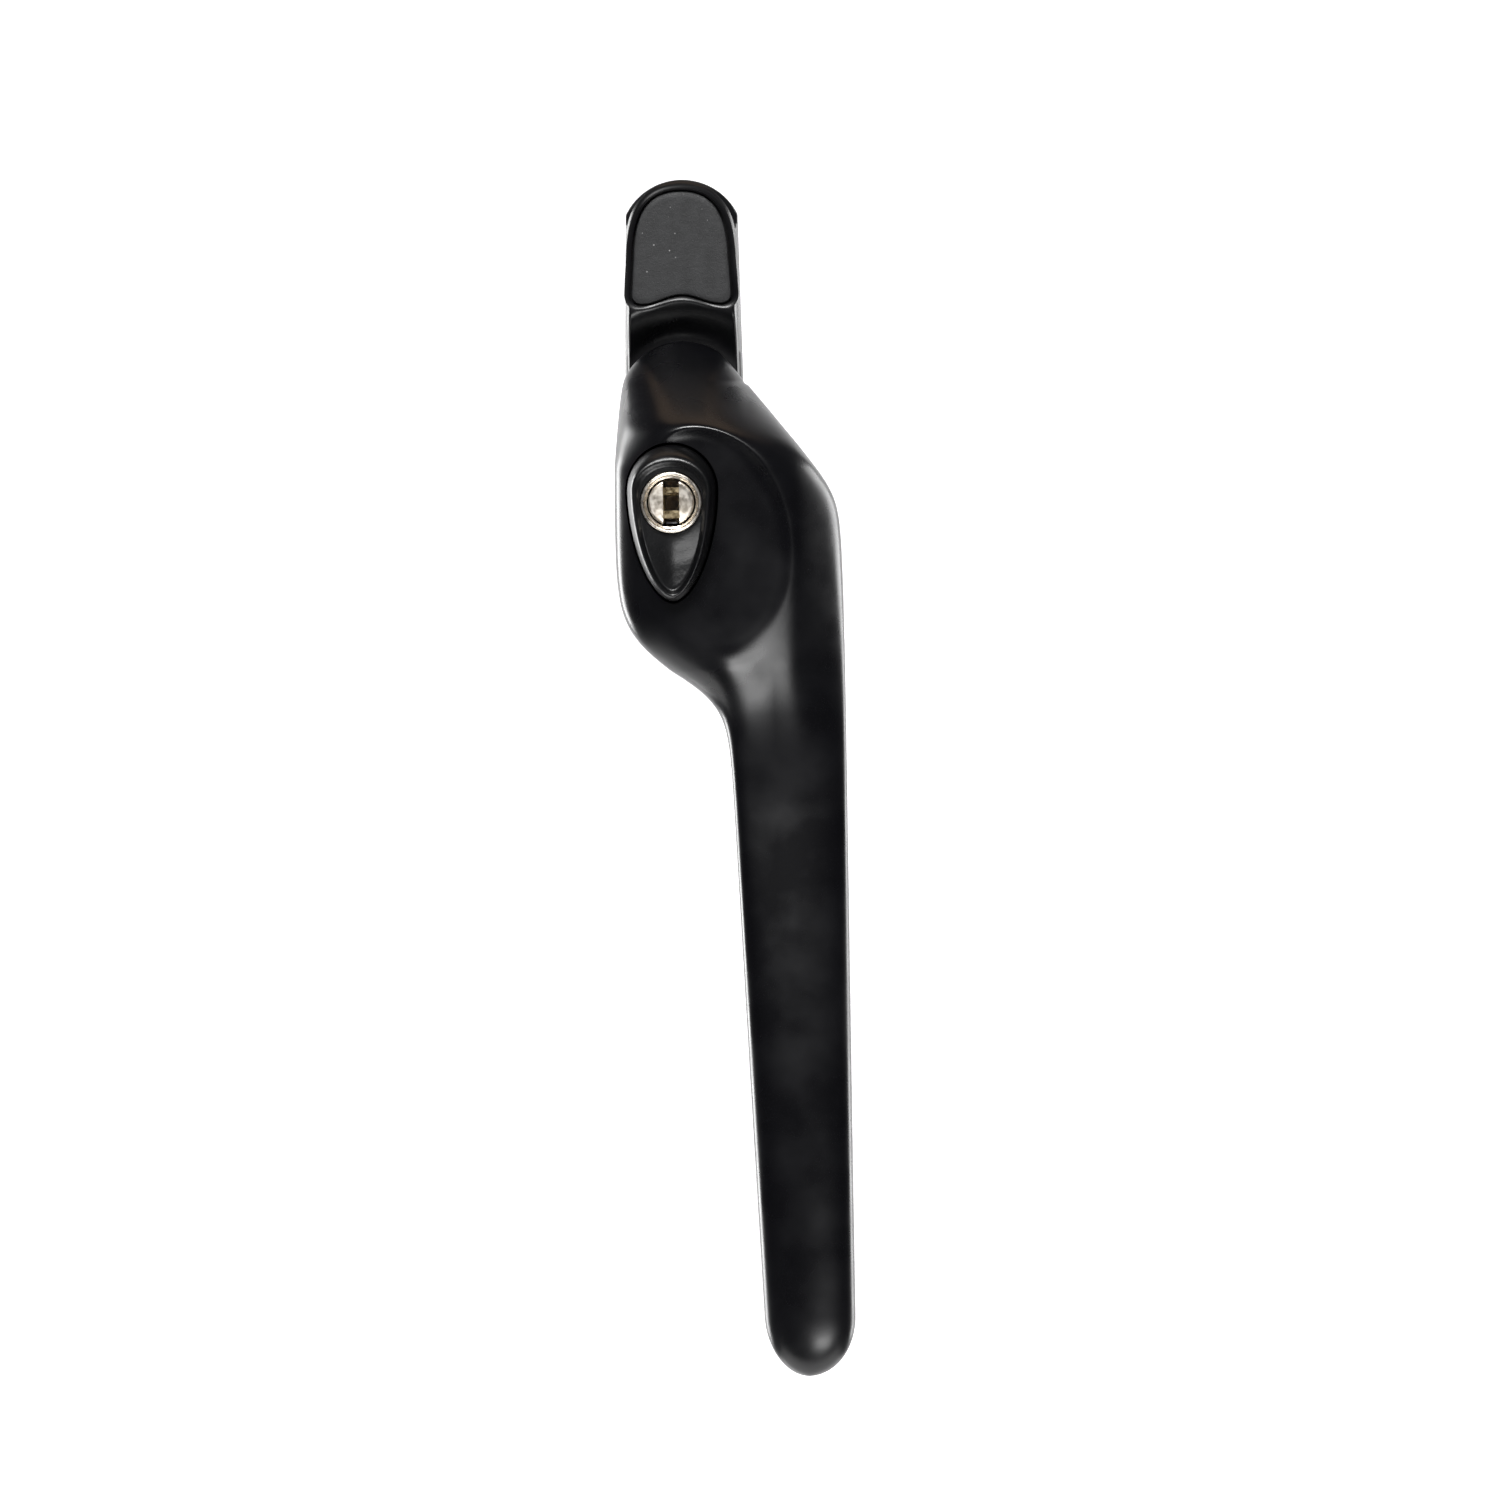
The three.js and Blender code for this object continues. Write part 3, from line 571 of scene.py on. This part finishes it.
# %% [markdown]
# ## The lock button
# The button is a separate small casting, grainier than the lever. Its wall leans in, its rim is a
# thin raised round, and inside the rim the face is slightly hollow around the cylinder and
# falls away to the tail with a faint ridge down the middle.

# %% Button
BUTTON_TOP, BUTTON_FOOT, BUTTON_FLOOR = 30.0, 22.6, 26.3


def rim_height(y):
    tail = np.clip((-15 - y) / 11, 0, 1)
    head = np.clip((y + 10) / 4, 0, 1)
    return BUTTON_TOP - 1.5 * tail ** 1.5 - 0.35 * head ** 2


def face_height(x, y):
    out = np.hypot(x - LOCK[0], y - LOCK[1])
    away = ease((out - 4.0) / 4.5) * ease((-13 - y) / 4)
    ridge = 0.35 * np.exp(-((x + 1.3) / 1.8) ** 2) * ease((-16 - y) / 4)
    return rim_height(y) - 0.35 - 0.75 * away + ridge


def button_rings():
    rim = teardrop(-11.85, 5.0, 4.0, 14.1)
    away = foot - np.array(LOCK)
    reach = np.hypot(away[:, 0], away[:, 1])[:, None]
    hole = np.array(LOCK) + away / reach * 4.22
    inward = hole - rim
    depth = np.hypot(inward[:, 0], inward[:, 1])
    inward = inward / depth[:, None]
    rings = [rise(foot, BUTTON_FOOT), rise(foot, 26.0)]
    for t in np.linspace(0.1, 1, 14):
        lean = math.sin(t * math.pi / 2) ** 1.6
        path = foot + (rim - foot) * t
        rings.append(rise(path, 26.2 + (rim_height(path[:, 1]) - 26.2) * (1 - (1 - t) ** 2.2)))
    for t in np.linspace(0, 1, 26)[1:]:
        gone = np.minimum(t * 2.6, 0.9) * np.minimum(1, depth / 1.4)
        gone = gone + (depth - gone) * max(0, (t - 0.35) / 0.65)
        path = rim + inward * gone[:, None]
        rolled = ease(gone / 0.95)
        face = face_height(path[:, 0], path[:, 1])
        rings.append(rise(path, rim_height(path[:, 1]) * (1 - rolled) + face * rolled))
    hollow = np.array(LOCK) + away / reach * 5.4
    return rings + [rise(hole, BUTTON_FLOOR), rise(hollow, BUTTON_FLOOR), rise(hollow, BUTTON_FOOT)]


button = ring_skin("lock_button_casting", button_rings(), ends=False, sharp=50)
dress(button, "button", BUTTON_COAT, "button_coat", "lock_button")

# %% [markdown]
# ## The lock cylinder
# Only the end of the cylinder shows: a bright ring, a dark groove, and the plug with its keyway.
# Both are turned parts, so a profile spun about the axis makes them as a lathe does. The
# keyway is milled right across the plug and is cut with a block.

# %% Barrel and plug
barrel = turned("lock_barrel_turned", [
    (0, 12.4), (3.9, 12.4), (4.1, 12.6), (4.1, 30.0), (4.07, 30.14), (4.0, 30.24), (3.9, 30.29),
    (3.78, 30.26), (3.66, 30.18), (3.58, 30.06), (3.54, 29.9), (3.52, 29.3), (3.3, 29.2), (3.3, 15.3),
    (0, 15.3)],
    LOCK, 128, sharp=50)
dress(barrel, "button", NICKEL, "nickel", "lock_barrel")

plug = turned("key_plug_turned", [
    (0, 15.6), (3.05, 15.6), (3.05, 29.72), (2.98, 29.88), (2.8, 29.97), (2.6, 29.95), (2.4, 29.88),
    (1.2, 29.82), (0, 29.8)], LOCK, 128)


def block(name, low, high):
    """A box between two front-view corners, in millimetres."""
    bm = bmesh.new()
    bmesh.ops.create_cube(bm, size=1)
    a, b = to_row(np.array([low, high], float))
    bmesh.ops.scale(bm, vec=np.abs(b - a), verts=bm.verts)
    bmesh.ops.translate(bm, vec=Vector((a + b) / 2), verts=bm.verts)
    return finish_mesh(bm, name)


keyway = block("keyway_tool", (LOCK[0] - 1.1, LOCK[1] - 4, 17.4), (LOCK[0] + 1.1, LOCK[1] + 4, 40))
carve(plug, keyway)
keep_sharp(plug, 30)
dress(plug, "plug", PLUG_FACE, "nickel", "key_plug")

# %% [markdown]
# ## The base plate
# The plate has a flange against the window and a body with a rounder arch on top of it. The body
# rises to hold the cap, and falls to the hub along a curve that is round about the spindle. One
# skin does it all: from the floor of the cap's recess, up its wall, over the thin rim, down the
# outside, out onto the flange and under.

# %% Plate outlines
PLATE_COUNT = 320
SCREW_Y = 21.5
CAP_CENTRE = np.array([0.0, SCREW_Y])


def arched(half_hub, half_end, shoulder, top):
    """Half width of a plate outline at each height y."""
    r = (half_end ** 2 + (top - shoulder) ** 2) / (2 * (top - shoulder))

    def half(y):
        y = np.abs(y)
        side = half_hub + (half_end - half_hub) * y / shoulder
        arch = np.sqrt(np.maximum(0, r * r - np.maximum(0, y - (top - r)) ** 2))
        return np.where(y < shoulder, side, np.where(y < top, arch, 0))
    return half


def from_centre(half):
    """The outline met by rays in all directions from the cap's centre, found by halving."""
    a = np.linspace(0, 2 * math.pi, PLATE_COUNT, endpoint=False)
    way = np.column_stack([np.cos(a), np.sin(a)])
    near, far = np.zeros(PLATE_COUNT), np.full(PLATE_COUNT, 80.0)
    for _ in range(44):
        mid = (near + far) / 2
        p = CAP_CENTRE + way * mid[:, None]
        inside = np.abs(p[:, 0]) < half(p[:, 1])
        near, far = np.where(inside, mid, near), np.where(inside, far, mid)
    return CAP_CENTRE + way * near[:, None]


def bezier(a, b, c, d, count=60):
    t = np.linspace(0, 1, count)[:, None]
    a, b, c, d = (np.array(p, float) for p in (a, b, c, d))
    return a * (1 - t) ** 3 + 3 * b * t * (1 - t) ** 2 + 3 * c * t * t * (1 - t) + d * t ** 3


def cap_outline(grow):
    """The cap's outline, pushed out by grow, met by the same rays as the plate."""
    side = bezier((6.75, 15.6), (6.68, 17.2), (6.55, 18.6), (6.45, 20.2))
    arch = bezier((6.45, 20.2), (6.25, 27), (3.85, 29.1), (0, 29.1))
    corner = bezier((4.65, 13.9), (5.9, 13.75), (6.95, 14.1), (6.75, 15.6))
    foot_arc = bezier((0, 15.1), (1.7, 15.1), (3.2, 14.1), (4.65, 13.9))
    right = np.vstack([foot_arc, corner[1:], side[1:], arch[1:]])
    points = np.vstack([right, (right * [-1, 1])[::-1][1:-1]])
    ahead, behind = np.roll(points, -1, 0), np.roll(points, 1, 0)
    run = ahead - behind
    normal = np.column_stack([run[:, 1], -run[:, 0]]) / np.hypot(run[:, 0], run[:, 1])[:, None]
    away = points + normal * grow - CAP_CENTRE
    a = np.linspace(0, 2 * math.pi, PLATE_COUNT, endpoint=False)
    angle = np.arctan2(away[:, 1], away[:, 0])
    reach = np.interp(a, np.sort(angle % (2 * math.pi)),
                      np.hypot(away[:, 0], away[:, 1])[np.argsort(angle % (2 * math.pi))],
                      period=2 * math.pi)
    return CAP_CENTRE + np.column_stack([np.cos(a), np.sin(a)]) * reach[:, None]


print("plate outlines have", PLATE_COUNT, "points")

# %% [markdown]
# The skin follows those outlines up and over. Its holes and the pocket for the gear at the back
# are cut afterwards.

# %% Plate skin
BASE_TOP, HUMP_TOP, RECESS_FLOOR = 5.4, 9.5, 7.5


def plate_height(points):
    """Top of the body: low round the hub, high under the cap, round about the spindle."""
    r = np.hypot(points[:, 0], points[:, 1])
    up = ease((r - 9.2) / 5.4) * (points[:, 1] > 0)
    return BASE_TOP + (HUMP_TOP - BASE_TOP) * up


def plate_rings():
    body = from_centre(arched(7.7, 7.3, 23.6, 30.65))
    flange = from_centre(arched(8.1, 7.6, 26.3, 31.0))
    recess = cap_outline(0.25)
    crest = cap_outline(1.0)
    rings = [rise(cap_outline(-1.5), RECESS_FLOOR), rise(recess, RECESS_FLOOR)]
    for t in np.linspace(0, 1, 6):
        line = recess + (crest - recess) * t
        edge = plate_height(line) - 0.3 * (1 - t) ** 2
        rings.append(rise(line, edge))
    for t in (np.linspace(0, 1, 60) ** 1.6)[1:]:
        line = crest + (body - crest) * t
        gap = np.hypot(*(body - line).T)
        round_off = 1.0 * np.clip(1 - gap / 1.0, 0, 1) ** 2
        rings.append(rise(line, plate_height(line) - round_off))
    rings += [rise(body, 3.3), rise(flange * 0.994, 2.9), rise(flange, 2.5), rise(flange, 0.25)]
    return rings + [rise(flange * 0.99, 0.0)]


plate = ring_skin("base_plate_casting", plate_rings(), sharp=40)
lower_seat = turned("seat_tool", [(0, 2.6), (4.8, 2.6), (4.8, 12), (0, 12)], (0, -SCREW_Y), 64)
upper_seat = turned("seat_tool_upper", [(0, 2.6), (4.8, 2.6), (4.8, 7.6), (0, 7.6)], (0, SCREW_Y), 64)
holes = [turned(f"hole_tool_{i}", [(0, -1), (2.75, -1), (2.75, 3), (0, 3)], (0, y), 48)
         for i, y in enumerate((SCREW_Y, -SCREW_Y))]
gear_pocket = block("gear_pocket_tool", (-6.6, -9.8, -1), (6.6, 9.8, 3.8))
hub_bore = turned("hub_bore_tool", [(0, 1), (6.95, 1), (6.95, 7), (0, 7)], (0, 0), 96)
bolt_hole = turned("bolt_hole_tool", [(0, 1.4), (2.3, 1.4), (2.3, 7), (0, 7)], LOCK, 48)
carve(plate, lower_seat, upper_seat, *holes, gear_pocket, hub_bore, bolt_hole)
keep_sharp(plate, 40)
dress(plate, "base", PLATE_COAT, "black_coat", "base_plate")

# %% [markdown]
# The cap sits in the recess with a narrow gap all round. Its edge is barely rounded and its
# face is flat.

# %% Screw cap
def cap_rings():
    rings = [rise(cap_outline(-0.1), 7.85), rise(cap_outline(-0.05), 8.0)]
    rings += [rise(cap_outline(-0.05), 9.35), rise(cap_outline(-0.1), 9.5), rise(cap_outline(-0.2), 9.58)]
    for t in np.linspace(0, 1, 12)[1:-1]:
        outline = cap_outline(-0.2)
        rings.append(rise(outline + (CAP_CENTRE - outline) * t, 9.6))
    return rings


cap = ring_skin("screw_cap_moulding", cap_rings(), sharp=40)
dress(cap, "base", CAP_PLASTIC, "cap_plastic", "screw_cap")

# %% [markdown]
# ## Screws and spindle
# Two M5 screws hold the plate and a square spindle drives the window's gear. The thread is one
# skin whose radius follows a ridge that climbs as it turns.

# %% Screws
def thread_ring(height, core, crest, pitch, sides=40):
    a = np.linspace(0, 2 * math.pi, sides, endpoint=False)
    phase = (height / pitch - a / (2 * math.pi)) % 1
    r = core + (crest - core) * (1 - np.abs(2 * phase - 1))
    return np.column_stack([r * np.cos(a), r * np.sin(a)])


def screw_rings(y):
    a = np.linspace(0, 2 * math.pi, 40, endpoint=False)
    unit = np.column_stack([np.cos(a), np.sin(a)])
    rings = [rise(unit * r + [0, y], h) for r, h in ((1.2, -26), (1.7, -25.6))]
    for h in np.arange(-25.2, -3.0, 0.13):
        rings.append(rise(thread_ring(h, 2.08, 2.48, 0.8) + [0, y], h))
    profile = ((2.2, -2.8), (2.2, 2.65), (4.3, 2.65), (4.5, 2.85), (4.5, 4.0), (4.3, 4.5),
               (3.6, 4.9), (2.4, 5.12), (0.6, 5.18))
    return rings + [rise(unit * r + [0, y], h) for r, h in profile]


def fixing_screw(name, y):
    screw = ring_skin(name, screw_rings(y), sharp=40)
    carve(screw, block("slot_a", (-2.4, y - 0.5, 3.6), (2.4, y + 0.5, 9)),
          block("slot_b", (-0.5, y - 2.4, 3.6), (0.5, y + 2.4, 9)))
    return keep_sharp(screw, 40)


dress(fixing_screw("fixing_screw_top", SCREW_Y), "base", ZINC, "zinc", "fixing_screw_upper")
dress(fixing_screw("fixing_screw_bottom", -SCREW_Y), "base", ZINC, "zinc", "fixing_screw_lower")

# %% [markdown]
# The spindle is a zinc-plated square bar with its corners broken and its ends tapered.

# %% Spindle
def square(half, chamfer):
    corner = [(half, chamfer - half), (half, half - chamfer), (half - chamfer, half),
              (chamfer - half, half), (-half, half - chamfer), (-half, chamfer - half),
              (chamfer - half, -half), (half - chamfer, -half)]
    return np.array(corner, float)


bar = ring_skin("spindle_bar", [rise(square(2.9, 0.5), -35), rise(square(3.5, 0.5), -34.2),
                                rise(square(3.5, 0.5), 12.6), rise(square(3.1, 0.5), 13.1)], sharp=20)
dress(bar, "handle", ZINC, "zinc", "spindle")

# %% [markdown]
# A plastic bush lies between the nose and the plate, so that metal doesn't turn on metal.

# %% Hub bush
bush = turned("hub_bush_turned", [
    (5.95, 4.0), (6.75, 4.0), (6.75, 5.6), (7.45, 5.7), (7.6, 5.85), (7.6, 6.15), (7.45, 6.3),
    (5.95, 6.3), (5.95, 4.0)])
dress(bush, "base", BUSH, "bush_plastic", "hub_bush")

# %% [markdown]
# ## Pieces that keep their engineering shape
# The cam, washer, back plate, bolt, latch, wafers and springs are simple stamped or cut parts.
# Their engineering solids are already right, so they only get their metals.

# %% Finishes for the carried pieces
KEPT = {
    ZINC: ["back_plate", "back_plate_rivet_upper", "back_plate_rivet_lower", "index_cam",
           "hub_washer", "lock_bolt"],
    STEEL: ["detent_spring_left", "detent_spring_right", "spindle_pin", "button_spring",
            "wafer_spring"],
    BRASS: ["latch_tongue", "wafer_1", "wafer_2", "wafer_3", "wafer_4"],
}
for look, names in KEPT.items():
    for name in names:
        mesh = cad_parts[name].data
        mesh.materials.clear()
        mesh.materials.append(look)
    print(look.name, "on", len(names), "carried pieces")

# %% [markdown]
# ## Studio
# The handle hangs in front of a white sheet, far enough away that no shadow falls on it. Black
# satin metal shows what surrounds it, so the light is made of soft panels: one behind on each
# side that draws the thin bright edges, one low and one high in front for the faces turned down
# and up, and a faint warm one overhead. The room itself is dim, so the coat stays black, but
# seen directly it is white like the paper, so every side has the same pale ground.

# %% Backdrop and floor
def sheet_of_paper(name, width, height, place, turn):
    bm = bmesh.new()
    bmesh.ops.create_grid(bm, x_segments=1, y_segments=1, size=0.5)
    bmesh.ops.scale(bm, vec=(width, height, 1), verts=bm.verts)
    bmesh.ops.rotate(bm, matrix=Matrix.Rotation(turn, 3, "X"), verts=bm.verts)
    bmesh.ops.translate(bm, vec=place, verts=bm.verts)
    mesh = bpy.data.meshes.new(name)
    bm.to_mesh(mesh)
    bm.free()
    made = bpy.data.objects.new(name, mesh)
    bpy.context.scene.collection.objects.link(made)
    return made


paper, nodes, links, shader, where = finish("white_paper", (0.95, 0.95, 0.95), 0.9)
shader.inputs["Emission Color"].default_value = (1, 1, 1, 1)
shader.inputs["Emission Strength"].default_value = 0.9
backdrop = sheet_of_paper("backdrop", 2.6, 2.6, (0, 1.85, -0.05), math.pi / 2)
floor = sheet_of_paper("floor", 1.3, 1.3, (0, 0.25, -0.7), 0)
for panel in (backdrop, floor):
    panel.data.materials.append(paper)
print("backdrop and floor are white paper")

# %% [markdown]
# All panels aim at the heart of the handle, and their powers are given one by one.

# %% Lights
def soft_panel(name, place, aim, width, height, power):
    data = bpy.data.lights.new(name, "AREA")
    data.shape = "RECTANGLE"
    data.size, data.size_y, data.energy = width, height, power
    lamp = bpy.data.objects.new(name, data)
    lamp.location = place
    lamp.rotation_euler = (Vector(aim) - Vector(place)).to_track_quat("-Z", "Y").to_euler()
    bpy.context.scene.collection.objects.link(lamp)
    return lamp


HEART = (0.005, -0.02, -0.045)
soft_panel("left_panel", (-0.95, 0.7, -0.02), HEART, 0.5, 1.0, 18)
soft_panel("right_panel", (0.95, 0.7, -0.02), HEART, 0.5, 1.0, 11)
soft_panel("low_panel", (0.34, -1.0, -0.70), HEART, 0.45, 0.25, 4.8)
soft_panel("high_panel", (-0.1, -0.9, 0.74), HEART, 0.5, 0.3, 19)
warm = soft_panel("top_panel", (0.0, 0.35, 1.0), HEART, 0.9, 0.5, 0.8)
warm.data.color = (1, 0.72, 0.5)
world = bpy.data.worlds.new("room")
bpy.context.scene.world = world
world.use_nodes = True
sky, sky_links = world.node_tree.nodes, world.node_tree.links
sky["Background"].inputs["Color"].default_value = (0.9, 0.9, 1.0, 1)
sky["Background"].inputs["Strength"].default_value = 0.06
pale = sky.new("ShaderNodeBackground")
pale.inputs["Color"].default_value = (1, 1, 1, 1)
rays, choice = sky.new("ShaderNodeLightPath"), sky.new("ShaderNodeMixShader")
sky_links.new(rays.outputs["Is Camera Ray"], choice.inputs["Fac"])
sky_links.new(sky["Background"].outputs["Background"], choice.inputs[1])
sky_links.new(pale.outputs["Background"], choice.inputs[2])
sky_links.new(choice.outputs["Shader"], sky["World Output"].inputs["Surface"])
bpy.context.scene.view_settings.view_transform = "Standard"
